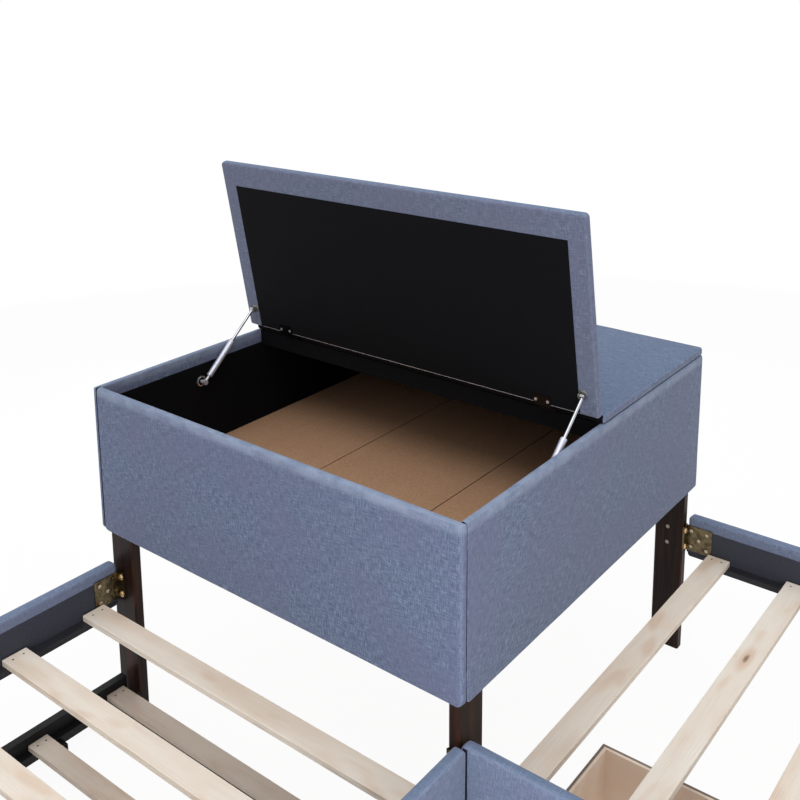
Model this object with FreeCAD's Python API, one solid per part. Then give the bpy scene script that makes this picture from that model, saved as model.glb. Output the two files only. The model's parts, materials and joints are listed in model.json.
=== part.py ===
import FreeCAD, Part
import math
import os

# Corner platform bed: a square flip-top storage table joins two twin bed frames at a right angle.
# Bed A runs to -Y from the table and holds a trundle. Bed B runs to +X and holds two drawers.
# Millimetres, laid out from the table's left front corner, with the floor at z = 0.

V = FreeCAD.Vector
X_AXIS = V(1, 0, 0)
Y_AXIS = V(0, 1, 0)
Z_AXIS = V(0, 0, 1)

# Table box: four upholstered panels set like a pinwheel
table_side = 1060.0
panel_t = 16.0
panel_z = 461.0
panel_h = 357.0
panel_round = 5.0
lining_t = 1.0
panel_lip = 35.0

# Floor of the storage bin, carried by battens
floor_rise = 104.0
floor_t = 6.0
floor_boards = 3
floor_gap = 1.5
batten_w = 25.0
batten_h = 25.0

# Leg boards, shared by the table and the bed feet
leg_w = 78.0
leg_t = 25.0
leg_chamfer = 3.0
foot_leg_drop = 20.0

# Fixed half of the table top and the lid
top_t = 20.0
top_inset = 2.0
top_round = 6.0
hinge_y = 517.0
lid_depth = 464.0
lid_rest_gap = 0.5
lid_open_angle = 79.5
lid_border_side = 45.0
lid_border_front = 60.0
lid_border_hinge = 5.0
hinge_rail_w = 20.0
hinge_rail_h = 40.0

# Butt hinges
hinge_len = 42.0
hinge_inset = 140.0
barrel_r = 4.0
pin_r = 2.0
pin_clear = 0.08
leaf_t = 1.5
leaf_clear = 0.5
leaf_reach = 24.0
knuckle_gap = 0.4
hinge_screw_r = 3.5
hinge_screw_h = 1.2
hinge_screw_edge = 6.0

# Gas struts
strut_offset = 16.0
strut_wall_y = 309.0
strut_wall_drop = 80.0
strut_lid_reach = 60.0
strut_lid_drop = 9.0
socket_r = 6.5
socket_w = 10.0
neck_r = 3.5
tube_r = 7.5
tube_bore_r = 6.2
tube_start = 20.0
tube_end = 128.0
tube_cap = 6.0
rod_r = 3.5
rod_clear = 0.08
piston_r = 6.0
piston_len = 8.0
stud_r = 3.0
wall_stud_gap = 0.5
washer_r = 13.5
washer_t = 3.0
lid_bracket_w = 28.0
lid_bracket_t = 2.0
ear_half = 8.0

# Bed frames
bed_length = 1960.0
bed_inset = 13.0
bed_overhang = 6.0
rail_t = 26.0
rail_h = 116.0
rail_z = 264.0
rail_round = 8.0
rail_lip = 28.0
cleat_w = 25.0
cleat_h = 15.0
cleat_start = 60.0
cleat_clear = 2.0
slat_w = 58.0
slat_t = 15.0
slat_pitch = 202.0
slat_end_gap = 7.0
slat_first_a = 36.0
slat_first_b = 50.0
slat_foot_clear = 5.0
slat_round = 2.0

# Bed rail brackets
bracket_t = 2.5
leg_plate_t = 2.5
bracket_size = 70.0
bracket_rise = 22.0
bracket_flange = 20.0
bracket_round = 6.0
plate_under_rail = 4.0
screw_r = 4.5
screw_h = 2.0
screw_edge = 13.0
nut_r = 5.0
nut_h = 1.5
dowel_depth = 42.0

# Trundle under bed A
trundle_clear = 3.0
trundle_foot_clear = 8.0
trundle_back_inset = 19.0
trundle_rail_t = 20.0
trundle_rail_z = 10.0
trundle_rail_h = 70.0
trundle_slat_w = 48.0
trundle_slat_t = 14.0
trundle_slat_drop = 20.0
trundle_slat_first = 10.0
trundle_slat_pitch = 188.0
trundle_slat_gap = 1.0
ledger_w = 18.0
ledger_h = 20.0
end_rail_w = 40.0
front_floor_gap = 14.0
front_rail_gap = 8.0

# Drawers under bed B
drawer_front_t = 24.0
drawer_front_inset = 12.0
drawer_front_gap = 6.0
drawer_side_inset = 82.0
drawer_depth = 344.0
drawer_wall_t = 12.0
drawer_bottom_t = 6.0
drawer_bottom_rise = 8.0
drawer_box_h = 150.0

# Castors and wheels
wheel_r = 17.0
wheel_w = 18.0
wheel_round = 3.0
axle_r = 3.0
axle_clear = 0.08
castor_t = 2.0
castor_gap = 1.0
castor_rise = 4.0
trundle_castor_inset = 206.0
drawer_castor_inset = 60.0

# Places that follow from the sizes above
panel_top = panel_z + panel_h
inner_low = panel_t
inner_high = table_side - panel_t
floor_z = panel_z + floor_rise
batten_top = floor_z - floor_t
leg_top = batten_top - batten_h
leaf_gap = barrel_r + leaf_clear + leaf_t
lid_z = panel_top + lid_rest_gap
lid_rear = hinge_y - leaf_gap
lid_front = lid_rear - lid_depth
fixed_front = hinge_y + leaf_gap
hinge_z = lid_z + top_t - barrel_r
rail_gap = leg_plate_t + bracket_t
rail_top = rail_z + rail_h
bed_width = table_side + bed_overhang - bed_inset
bed_b_y = panel_t - rail_gap
rail_start = rail_gap - panel_t
foot_leg_face = bed_length - leg_t
foot_leg_top = rail_top - foot_leg_drop
slat_z = rail_z + cleat_h
bracket_z = rail_z + bracket_rise
strut_x = inner_low + strut_offset
wall_pivot = (strut_wall_y, panel_top - strut_wall_drop)
castor_top = 2 * wheel_r + castor_rise + castor_t

# The origin stands on the floor under the middle of the whole bed
reach_x = table_side + bed_length + rail_t
reach_low = -bed_length - rail_t
reach_high = max(bed_b_y + bed_width, table_side)
origin = V(reach_x / 2, (reach_low + reach_high) / 2, 0)

nodes = {}


def add(name, *shapes):
    """Put solids into the node of this name."""
    nodes.setdefault(name, []).extend(shapes)


def box(x, y, z):
    """A plain board between pairs of limits, in either order."""
    low = V(min(x), min(y), min(z))
    high = V(max(x), max(y), max(z))
    size = high - low
    return Part.makeBox(size.x, size.y, size.z, low)


def rounded(shape, radius, edges=None):
    """Round the edges, as far as the thinnest side allows."""
    limits = shape.BoundBox
    thinnest = min(limits.XLength, limits.YLength, limits.ZLength)
    return shape.makeFillet(min(radius, 0.42 * thinnest), edges or shape.Edges)


def edges_along(shape, axis):
    """The straight edges of a box that run along an axis."""
    return [e for e in shape.Edges if abs(e.tangentAt(e.FirstParameter).dot(axis)) > 0.99]


def padded(x, y, z, radius):
    """An upholstered board, rounded all over."""
    return rounded(box(x, y, z), radius)


def rod_between(radius, start, end):
    """A round bar from one point to another."""
    way = end - start
    return Part.makeCylinder(radius, way.Length, start, way)


def mirrored(shape):
    """The same piece on the table's right-hand side."""
    return shape.mirror(V(table_side / 2, 0, 0), X_AXIS)


def pair(shape):
    """A piece on the left and its twin on the right."""
    return [shape, mirrored(shape)]


def opened(shape):
    """Turn a piece of the closed lid up to where the lid stands open."""
    turned = shape.copy()
    turned.rotate(V(0, hinge_y, hinge_z), X_AXIS, -lid_open_angle)
    return turned


def count_in(length, pitch):
    """How many copies at a pitch fit into a length between the first and the last."""
    return int(length // pitch) + 1


# Table panels: each one ends on the inner face of the next
def table_panels():
    z = (panel_z, panel_top)
    whole = table_side
    inner = table_side - panel_t
    add("table_panel_front", padded((panel_t, whole), (0, panel_t), z, panel_round))
    add("table_panel_right", padded((inner, whole), (panel_t, whole), z, panel_round))
    add("table_panel_back", padded((0, inner), (inner, whole), z, panel_round))
    add("table_panel_left", padded((0, panel_t), (0, inner), z, panel_round))


def table_linings():
    z = (floor_z, panel_top - panel_lip)
    low = inner_low + lining_t
    high = inner_high - lining_t
    across = (inner_low, inner_high)
    between = (low, high)
    add("linings", box(across, (inner_low, low), z), box(across, (high, inner_high), z))
    add("linings", box((inner_low, low), between, z), box((high, inner_high), between, z))


def table_floor():
    z = (batten_top, floor_z)
    width = (inner_high - inner_low - (floor_boards - 1) * floor_gap) / floor_boards
    seams = []
    for i in range(floor_boards):
        x = inner_low + i * (width + floor_gap)
        add("table_floor_boards", box((x, x + width), (inner_low, inner_high), z))
        seams.append(x + width + floor_gap / 2)
    z = (leg_top, batten_top)
    low = inner_low + batten_w
    high = inner_high - batten_w
    add("table_battens", box((inner_low, inner_high), (inner_low, low), z))
    add("table_battens", box((inner_low, inner_high), (high, inner_high), z))
    add("table_battens", box((inner_low, low), (low, high), z))
    add("table_battens", box((high, inner_high), (low, high), z))
    for seam in seams[:-1]:
        add("table_battens", box((seam - batten_w / 2, seam + batten_w / 2), (low, high), z))


def leg(x, y, top):
    """A leg board with chamfered long edges."""
    board = box(x, y, (0, top))
    return board.makeChamfer(leg_chamfer, edges_along(board, Z_AXIS))


def table_legs():
    low_w = (inner_low, inner_low + leg_w)
    low_t = (inner_low, inner_low + leg_t)
    high_w = (inner_high - leg_w, inner_high)
    high_t = (inner_high - leg_t, inner_high)
    add("table_leg_left", leg(low_w, low_t, leg_top))
    add("table_leg_near", leg(high_t, low_w, leg_top))
    add("table_leg_right", leg(high_w, high_t, leg_top))
    add("table_leg_back", leg(low_t, high_w, leg_top))


# Table top: the fixed half, the rail under its front edge, and the lid
def table_top():
    x = (top_inset, table_side - top_inset)
    z = (panel_top, panel_top + top_t)
    add("table_top_fixed", padded(x, (fixed_front, table_side - top_inset), z, top_round))
    x = (inner_low + lining_t, inner_high - lining_t)
    y = (fixed_front, fixed_front + hinge_rail_w)
    add("hinge_rail", box(x, y, (panel_top - hinge_rail_h, panel_top)))
    x = (top_inset, table_side - top_inset)
    lid = padded(x, (lid_front, lid_rear), (lid_z, lid_z + top_t), top_round)
    add("lid", opened(lid))
    x = (x[0] + lid_border_side, x[1] - lid_border_side)
    y = (lid_front + lid_border_front, lid_rear - lid_border_hinge)
    add("lid_lining", opened(box(x, y, (lid_z - lining_t, lid_z))))


def knuckle(x, plate_y):
    """One rolled knuckle with the web that joins it to its leaf, bored for the pin."""
    barrel = rod_between(barrel_r, V(x[0], hinge_y, hinge_z), V(x[1], hinge_y, hinge_z))
    web = box(x, (plate_y, hinge_y), (hinge_z - leaf_t / 2, hinge_z + leaf_t / 2))
    bore_r = pin_r + pin_clear
    bore = rod_between(bore_r, V(x[0] - 1, hinge_y, hinge_z), V(x[1] + 1, hinge_y, hinge_z))
    return barrel.fuse(web).cut(bore)


def hinges():
    third = hinge_len / 3
    start = hinge_inset - hinge_len / 2
    end = start + hinge_len
    x = (start, end)
    under = lid_z - lining_t
    top = hinge_z + leaf_t / 2
    screw_x = (start + hinge_screw_edge, end - hinge_screw_edge)

    upright = box(x, (lid_rear, lid_rear + leaf_t), (under - leaf_t, top))
    foot = box(x, (lid_rear - leaf_reach, lid_rear + leaf_t), (under - leaf_t, under))
    outer = [(start, start + third - knuckle_gap), (end - third + knuckle_gap, end)]
    lid_leaf = upright.fuse([foot] + [knuckle(k, lid_rear) for k in outer])
    add("hinge_lid_leaves", *[opened(s) for s in pair(lid_leaf)])
    for sx in screw_x:
        low = V(sx, lid_rear - leaf_reach / 2, under - leaf_t - hinge_screw_h)
        head = rod_between(hinge_screw_r, low, low + Z_AXIS * hinge_screw_h)
        add("hinge_lid_screws", *[opened(s) for s in pair(head)])

    plate = box(x, (fixed_front - leaf_t, fixed_front), (panel_top, top))
    middle = knuckle((start + third, end - third), fixed_front)
    add("hinge_fixed_leaves", *pair(plate.fuse(middle)))
    drop = (panel_top + hinge_z - barrel_r) / 2
    for sx in screw_x:
        face = V(sx, fixed_front - leaf_t - hinge_screw_h, drop)
        head = rod_between(hinge_screw_r, face, face + Y_AXIS * hinge_screw_h)
        add("hinge_fixed_screws", *pair(head))

    pin = rod_between(pin_r, V(start, hinge_y, hinge_z), V(end, hinge_y, hinge_z))
    add("hinge_pins", *pair(pin))


# Gas struts: the tube swings at the wall, the rod at the lid
def lid_pivot(angle):
    """Where the strut meets the lid when the lid is this far open, as (y, z)."""
    turn = math.radians(angle)
    back = strut_lid_reach
    down = hinge_z - lid_z + strut_lid_drop
    y = hinge_y - back * math.cos(turn) - down * math.sin(turn)
    z = hinge_z + back * math.sin(turn) - down * math.cos(turn)
    return y, z


def strut_line(angle):
    """The strut's length and its slope in degrees at a lid angle."""
    y, z = lid_pivot(angle)
    run = y - wall_pivot[0]
    rise = z - wall_pivot[1]
    return math.hypot(run, rise), math.degrees(math.atan2(rise, run))


def socket(y, z):
    """The round end of a strut, across the table."""
    half = socket_w / 2
    return rod_between(socket_r, V(strut_x - half, y, z), V(strut_x + half, y, z))


def struts():
    length, slope = strut_line(lid_open_angle)
    way = V(0, math.cos(math.radians(slope)), math.sin(math.radians(slope)))
    foot = V(strut_x, wall_pivot[0], wall_pivot[1])

    def at(distance):
        return foot + way * distance

    tube = socket(*wall_pivot).fuse(rod_between(neck_r, at(0), at(tube_start)))
    tube = tube.fuse(rod_between(tube_r, at(tube_start), at(tube_end)))
    tube = tube.cut(rod_between(tube_bore_r, at(tube_start + tube_cap), at(tube_end - tube_cap)))
    tube = tube.cut(rod_between(rod_r + rod_clear, at(tube_end - 2 * tube_cap), at(tube_end + 1)))

    head_y, head_z = lid_pivot(lid_open_angle)
    stop = tube_end - tube_cap - knuckle_gap
    rod = socket(head_y, head_z).fuse(rod_between(rod_r, at(stop - piston_len), at(length)))
    rod = rod.fuse(rod_between(piston_r, at(stop - piston_len), at(stop)))
    half = socket_w / 2 + 1
    bore = (V(strut_x - half, head_y, head_z), V(strut_x + half, head_y, head_z))
    rod = rod.cut(rod_between(stud_r + pin_clear, *bore))
    for side, shapes in (("left", (tube, rod)), ("right", (mirrored(tube), mirrored(rod)))):
        add("strut_%s_tube" % side, shapes[0])
        add("strut_%s_rod" % side, shapes[1])

    wall = V(inner_low + lining_t, wall_pivot[0], wall_pivot[1])
    washer = rod_between(washer_r, wall, wall + X_AXIS * washer_t)
    tip = strut_x - socket_w / 2 - wall_stud_gap
    stud = rod_between(stud_r, wall, V(tip, wall.y, wall.z))
    add("strut_wall_studs", *pair(washer.fuse(stud)))

    y, z = lid_pivot(0)
    ear_x = strut_x + socket_w / 2 + lid_bracket_t
    half = lid_bracket_w / 2
    plate = box((strut_x - half / 2, ear_x + half / 2), (y - half, y + half), (lid_z - lid_bracket_t, lid_z))
    ear = box((ear_x, ear_x + lid_bracket_t), (y - ear_half, y + ear_half), (z - ear_half, lid_z))
    stud = rod_between(stud_r, V(strut_x - socket_w / 2, y, z), V(ear_x, y, z))
    add("strut_lid_brackets", *[opened(s) for s in pair(plate.fuse([ear, stud]))])


# One bed frame, with u running away from the table and v across the bed
def bracket(leg_face, away, rail_face, inward, plate_edge):
    """The two-piece bracket that hangs a rail end on a leg, and its screws."""
    top = bracket_z + bracket_size
    skin = rail_face + inward * lining_t
    edge = skin + inward * bracket_flange
    seat = leg_face + away * leg_plate_t
    bend = seat + away * bracket_t
    z = (bracket_z, top)
    leg_plate = box((leg_face, seat), (rail_face + inward * plate_edge, edge), z)
    leg_plate = rounded(leg_plate, bracket_round, edges_along(leg_plate, X_AXIS))
    tip = seat + away * bracket_size
    wing = box((seat, tip), (skin, skin + inward * bracket_t), z)
    flange = box((seat, bend), (skin, edge), z)
    rail_plate = wing.fuse(flange).removeSplitter()

    face = skin + inward * bracket_t
    near = bend + away * screw_edge
    far = tip - away * screw_edge
    heights = (bracket_z + screw_edge, top - screw_edge)
    places = [(u, h) for u in (near, far) for h in heights]
    places.append(((near + far) / 2, sum(heights) / 2))
    screws = []
    for u, h in places:
        seat_point = V(u, face, h)
        screws.append(rod_between(screw_r, seat_point, seat_point + Y_AXIS * inward * screw_h))
    middle = (face + edge) / 2
    for h in heights:
        seat_point = V(bend, middle, h)
        screws.append(rod_between(screw_r, seat_point, seat_point + X_AXIS * away * screw_h))
    return leg_plate, rail_plate, screws


def bed_frame(first):
    """All fixed pieces of one bed, as lists under their plain names."""
    low = rail_t
    high = bed_width - rail_t
    z = (rail_z, rail_top)
    made = {
        "rail_low": [padded((rail_start, bed_length), (0, low), z, rail_round)],
        "rail_high": [padded((rail_start, bed_length), (high, bed_width), z, rail_round)],
        "rail_foot": [padded((bed_length, bed_length + rail_t), (0, bed_width), z, rail_round)],
    }
    u = (cleat_start, foot_leg_face - cleat_clear)
    z = (rail_z, slat_z)
    made["cleats"] = [box(u, (low, low + cleat_w), z), box(u, (high - cleat_w, high), z)]
    u = (rail_start, foot_leg_face)
    z = (slat_z, rail_top - rail_lip)
    made["linings"] = [box(u, (low, low + lining_t), z), box(u, (high - lining_t, high), z)]
    across = (low + leg_w, high - leg_w)
    made["linings"].append(box((bed_length - lining_t, bed_length), across, z))

    made["slats"] = []
    room = foot_leg_face - slat_foot_clear - first - slat_w
    v = (low + slat_end_gap, high - slat_end_gap)
    for i in range(count_in(room, slat_pitch)):
        start = first + i * slat_pitch
        slat = box((start, start + slat_w), v, (slat_z, slat_z + slat_t))
        made["slats"].append(rounded(slat, slat_round, edges_along(slat, Y_AXIS)))

    u = (foot_leg_face, bed_length)
    made["foot_legs"] = [
        leg(u, (low, low + leg_w), foot_leg_top),
        leg(u, (high - leg_w, high), foot_leg_top),
    ]
    made["leg_plates"] = []
    made["rail_plates"] = []
    made["screws"] = []
    ends = ((-panel_t, 1, -plate_under_rail), (foot_leg_face, -1, lining_t))
    for leg_face, away, plate_edge in ends:
        for rail_face, inward in ((low, 1), (high, -1)):
            leg_plate, rail_plate, screws = bracket(leg_face, away, rail_face, inward, plate_edge)
            made["leg_plates"].append(leg_plate)
            made["rail_plates"].append(rail_plate)
            made["screws"].extend(screws)
    return made


def to_bed_a(shape):
    """Swing a bed piece round to run along -Y, with v along X."""
    shape.rotate(V(0, 0, 0), Z_AXIS, -90)
    shape.translate(V(bed_inset, 0, 0))
    return shape


def to_bed_b(shape):
    """Set a bed piece on the table's right side, along +X."""
    shape.translate(V(table_side, bed_b_y, 0))
    return shape


def beds():
    plans = (
        ("a", slat_first_a, to_bed_a, {"rail_low": "rail_outer", "rail_high": "rail_inner"}),
        ("b", slat_first_b, to_bed_b, {"rail_low": "rail_inner", "rail_high": "rail_outer"}),
    )
    shared = {
        "linings": "linings",
        "foot_legs": "foot_legs",
        "leg_plates": "bracket_leg_plates",
        "rail_plates": "bracket_rail_plates",
        "screws": "bracket_screws",
    }
    for letter, first, place, sides in plans:
        for kind, shapes in bed_frame(first).items():
            name = shared.get(kind) or "bed_%s_%s" % (letter, sides.get(kind, kind))
            add(name, *[place(s) for s in shapes])


def leg_nuts():
    """Nut heads on the inner faces of the table legs, level with the bracket bolts."""
    heights = (bracket_z + screw_edge, bracket_z + bracket_size - screw_edge)
    bolt_x = bed_inset + rail_t + lining_t + (bracket_t + bracket_flange) / 2
    inside = inner_high - leg_t
    for h in heights:
        places = (
            (V(bolt_x, inner_low + leg_t, h), Y_AXIS),
            (V(inside, inner_low + dowel_depth, h), X_AXIS * -1),
            (V(inner_high - dowel_depth, inside, h), Y_AXIS * -1),
        )
        for point, way in places:
            add("leg_nuts", rod_between(nut_r, point, point + way * nut_h))


# Castors: a bent bracket with an axle, and a wheel on it
def castor(centre, axle, web):
    """A castor whose back plate stands towards web, with its axle along axle."""
    half = wheel_w / 2 + castor_gap
    outer = half + castor_t
    reach = wheel_r + castor_gap
    low = axle_r + castor_t
    cheeks = []
    for side in (-1, 1):
        a = centre + axle * (side * half)
        b = centre + axle * (side * outer)
        cheek = corner_box(a - web * low, b + web * reach, wheel_r - low, castor_top)
        cheeks.append(cheek)
    a = centre - axle * outer + web * reach
    b = centre + axle * outer + web * (reach + castor_t)
    back = corner_box(a, b, wheel_r - low, castor_top)
    a = centre - axle * outer - web * low
    top = corner_box(a, b, castor_top - castor_t, castor_top)
    pin = rod_between(axle_r, centre - axle * outer, centre + axle * outer)
    return cheeks[0].fuse([cheeks[1], back, top, pin]).removeSplitter()


def corner_box(a, b, bottom, top):
    """A board between two plan points and two heights."""
    return box((a.x, b.x), (a.y, b.y), (bottom, top))


def wheel(centre, axle):
    """A wheel with rounded rims and a bore that runs on the axle."""
    half = axle * (wheel_w / 2)
    disc = rod_between(wheel_r, centre - half, centre + half)
    rims = [e for e in disc.Edges if isinstance(e.Curve, Part.Circle)]
    disc = disc.makeFillet(wheel_round, rims)
    return disc.cut(rod_between(axle_r + axle_clear, centre - axle * wheel_w, centre + axle * wheel_w))


# Trundle: a low frame with slats that rolls out along +X
trundle_near = bed_b_y - trundle_clear
trundle_far = -foot_leg_face + trundle_foot_clear
trundle_back = bed_inset + trundle_back_inset
trundle_front = bed_inset + bed_width - rail_t
trundle_top = trundle_rail_z + trundle_rail_h
trundle_slat_top = trundle_top - trundle_slat_drop
trundle_slat_z = trundle_slat_top - trundle_slat_t
trundle_inner = (trundle_back + trundle_rail_t, trundle_front - trundle_rail_t)
trundle_wheel_back = trundle_inner[0] + ledger_w + castor_t + castor_gap + wheel_r
trundle_wheel_front = trundle_inner[1] - ledger_w - castor_t - castor_gap - wheel_r


def trundle():
    length = (trundle_far, trundle_near)
    z = (trundle_rail_z, trundle_top)
    add("trundle_rail_back", box((trundle_back, trundle_inner[0]), length, z))
    add("trundle_rail_front", box((trundle_inner[1], trundle_front), length, z))
    x = (trundle_front, trundle_front + rail_t)
    z = (front_floor_gap, rail_z - front_rail_gap)
    add("trundle_front_panel", padded(x, length, z, rail_round))

    z = (trundle_slat_z - ledger_h, trundle_slat_z)
    first = trundle_near - trundle_slat_first
    add("trundle_bearers", box((trundle_inner[0], trundle_inner[0] + ledger_w), length, z))
    add("trundle_bearers", box((trundle_inner[1] - ledger_w, trundle_inner[1]), length, z))
    between = (trundle_inner[0] + ledger_w, trundle_inner[1] - ledger_w)
    room = first - trundle_far - trundle_slat_first - trundle_slat_w
    count = count_in(room, trundle_slat_pitch)
    step = room / (count - 1)
    for i in range(count):
        near = first - i * step
        x = (trundle_inner[0] + trundle_slat_gap, trundle_inner[1] - trundle_slat_gap)
        slat = box(x, (near - trundle_slat_w, near), (trundle_slat_z, trundle_slat_top))
        add("trundle_slats", rounded(slat, slat_round, edges_along(slat, X_AXIS)))
        if i in (0, count - 1):
            middle = near - trundle_slat_w / 2
            y = (middle - end_rail_w / 2, middle + end_rail_w / 2)
            add("trundle_bearers", box(between, y, z))

    places = (trundle_near - trundle_castor_inset, trundle_far + trundle_castor_inset)
    for name, x, way in (("front", trundle_wheel_front, 1), ("rear", trundle_wheel_back, -1)):
        for y in places:
            centre = V(x, y, wheel_r)
            add("trundle_castors", castor(centre, Y_AXIS, X_AXIS * way))
            add("trundle_wheels_" + name, wheel(centre, Y_AXIS))


# Drawers: pine boxes on castors behind upholstered fronts, which roll out along -Y
drawer_span = foot_leg_face - slat_foot_clear - drawer_front_inset
drawer_front_w = (drawer_span - drawer_front_gap) / 2
drawer_back_y = bed_b_y + drawer_front_t + drawer_depth
drawer_box_z = castor_top
drawer_starts = {
    "near": table_side + drawer_front_inset,
    "far": table_side + drawer_front_inset + drawer_front_w + drawer_front_gap,
}
drawer_wheel_y = {
    "front": bed_b_y + drawer_front_t + drawer_castor_inset,
    "rear": drawer_back_y - drawer_castor_inset,
}


def drawer(which):
    start = drawer_starts[which]
    name = "drawer_%s_" % which
    x = (start, start + drawer_front_w)
    y = (bed_b_y, bed_b_y + drawer_front_t)
    add(name + "front", padded(x, y, (front_floor_gap, rail_z - front_rail_gap), rail_round))

    low = x[0] + drawer_side_inset
    high = x[1] - drawer_side_inset
    front = y[1]
    back = drawer_back_y
    wall = drawer_wall_t
    z = (drawer_box_z, drawer_box_z + drawer_box_h)
    inside = (low + wall, high - wall)
    add(name + "box", box((low, low + wall), (front, back), z))
    add(name + "box", box((high - wall, high), (front, back), z))
    add(name + "box", box(inside, (front, front + wall), z))
    add(name + "box", box(inside, (back - wall, back), z))
    z = (drawer_box_z, drawer_box_z + drawer_bottom_rise + drawer_bottom_t)
    add(name + "box", box(inside, (front + wall, back - wall), (z[1] - drawer_bottom_t, z[1])))

    half = wheel_w / 2 + castor_gap + castor_t
    for end, y in drawer_wheel_y.items():
        way = Y_AXIS if end == "rear" else Y_AXIS * -1
        for x in (low + half, high - half):
            centre = V(x, y, wheel_r)
            add(name + "castors", castor(centre, X_AXIS, way))
            add(name + "wheels_" + end, wheel(centre, X_AXIS))


def build():
    table_panels()
    table_linings()
    table_floor()
    table_legs()
    table_top()
    hinges()
    struts()
    beds()
    leg_nuts()
    trundle()
    drawer("near")
    drawer("far")


def write():
    os.makedirs("parts", exist_ok=True)
    for name, shapes in nodes.items():
        whole = Part.makeCompound(shapes) if len(shapes) > 1 else shapes[0]
        whole.translate(origin * -1)
        whole.exportStep("parts/%s.step" % name)


build()
write()
print(len(nodes), "nodes,", sum(len(s) for s in nodes.values()), "solids")
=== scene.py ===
"""Upholstery, timber, hardware and studio for a corner platform bed with a flip-top storage table."""

import functools
import json
import math

import bmesh
import bpy
from bpy.props import FloatProperty, FloatVectorProperty, PointerProperty
from mathutils import Matrix, Vector, noise

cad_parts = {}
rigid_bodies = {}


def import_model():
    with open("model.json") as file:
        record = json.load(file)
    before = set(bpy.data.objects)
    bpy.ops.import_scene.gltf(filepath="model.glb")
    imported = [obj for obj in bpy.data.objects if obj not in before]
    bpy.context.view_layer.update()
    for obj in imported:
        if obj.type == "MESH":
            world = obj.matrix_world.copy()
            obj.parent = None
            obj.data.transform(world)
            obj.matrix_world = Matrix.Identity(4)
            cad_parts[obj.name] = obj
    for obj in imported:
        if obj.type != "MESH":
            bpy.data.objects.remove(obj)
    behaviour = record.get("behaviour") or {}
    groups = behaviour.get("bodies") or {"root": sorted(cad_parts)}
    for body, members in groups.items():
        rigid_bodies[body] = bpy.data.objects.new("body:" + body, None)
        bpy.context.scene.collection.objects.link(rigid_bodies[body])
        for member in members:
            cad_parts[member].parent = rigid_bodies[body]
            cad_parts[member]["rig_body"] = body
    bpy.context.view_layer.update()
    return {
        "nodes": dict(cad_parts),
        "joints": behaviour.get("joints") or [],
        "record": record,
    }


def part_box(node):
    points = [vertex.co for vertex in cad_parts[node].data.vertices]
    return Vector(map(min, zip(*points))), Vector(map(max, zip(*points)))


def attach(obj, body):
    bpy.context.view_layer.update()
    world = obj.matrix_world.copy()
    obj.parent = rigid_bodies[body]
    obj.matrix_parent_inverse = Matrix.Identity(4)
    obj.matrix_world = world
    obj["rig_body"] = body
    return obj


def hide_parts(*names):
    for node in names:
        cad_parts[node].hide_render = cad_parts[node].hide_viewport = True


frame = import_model()

bl_info = {
    "name": "Corner platform bed",
    "version": (1, 0, 0),
    "blender": (4, 5, 0),
    "location": "View3D > Sidebar > Corner bed",
    "description": "Dresses the frame of a corner platform bed with a flip-top storage table",
    "category": "Object",
}

# The axes, the two directions along one, and the level axis that crosses a level axis
X, Y, Z = range(3)
OUT, IN = 1, -1
ACROSS = {X: Y, Y: X}

# How squarely a face looks along an axis, from 0 to 1, where its finish changes
LEVEL = 0.9
SEAM_END = 0.85
UNDERSIDE = 0.8
SQUARE_ON = 0.7
SEAM_SIDE = 0.6
HALF_TURNED = 0.5
TURNED = 0.3

# Steps round a board's edge and towards its ends, and round other round forms
EDGE_STEPS = 5
END_STEPS = 5
LATHE_SIDES = 24
EYE_STEPS = 12
NAIL_SIDES = 12
NAIL_RINGS = 8

# The widest angle between faces that is shaded smooth, and how close two points are one
SMOOTH_ANGLE = math.radians(50)
ONE_POINT = 1e-6

# Waves of stretched cloth: how many go into a ripple's length, and their share of its depth
CLOTH_WAVES = ((1.0, 0.7), (2.7, 0.3))

# A lining's edge as a share of its thickness, and its ripple and mesh step beside those of a board
LINING_EDGE = 0.4
LINING_RIPPLE = 0.4
LINING_STEP = 2

# The chance above which a cell of the grain has a knot, and the metres of grain that slats are cut from
KNOT_CHANCE = 0.62
GRAIN_STRETCH = 9

# A nail's distance from the middle as a share of the slat's width, and how flat its head is
NAIL_SPREAD = 0.22
NAIL_FLATNESS = 0.3

# Turns of a bolt's dome in degrees, and the bevel of a disc as a share of its radius
DOME_TURNS = (0, 12, 25, 40, 55, 68)
DISC_BEVEL = 0.07

# Sockets of a Mix node that carry its factor and its colours
MIX_FACTOR, MIX_FIRST, MIX_SECOND = 0, 6, 7
MIX_RESULT = 2

# Colours of the stage, and the square of the distance where the shadow ends, in squares of its reach
WHITE = (1, 1, 1)
FLOOR_GREY = (0.9, 0.9, 0.9)
SHADOW_FADE = 6

# Each lamp's place, the node that it points at, and its side
LAMPS = {
    "key_light": ((0.9, -1.6, 0.75), "table_leg_near", 1.2),
    "back_light": ((-2.7, 2.7, 0.75), "table_leg_back", 1.2),
    "top_light": ((-0.4, 0.1, 3.6), "table_leg_near", 3.0),
}

# Each plain metal's colour, roughness, depth of grit and share of metal
METALS = {
    "zinc_screws": ("zinc_screw", 0.16, 0.0002, 1.0),
    "zinc_bolts": ("zinc_bolt", 0.2, 0.0002, 1.0),
    "hinge_steel": ("steel_dark", 0.3, 0.0002, 1.0),
    "bright_steel": ("steel_bright", 0.18, 0.0001, 1.0),
    "nickel_screws": ("steel_bright", 0.22, 0.0001, 0.65),
    "pressed_steel": ("steel_pressed", 0.3, 0.0002, 0.7),
    "chrome": ("chrome", 0.06, 0.00004, 1.0),
    "satin_silver": ("silver", 0.3, 0.0001, 0.55),
}

DRAWER_BOXES = ("drawer_near_box", "drawer_far_box")


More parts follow.
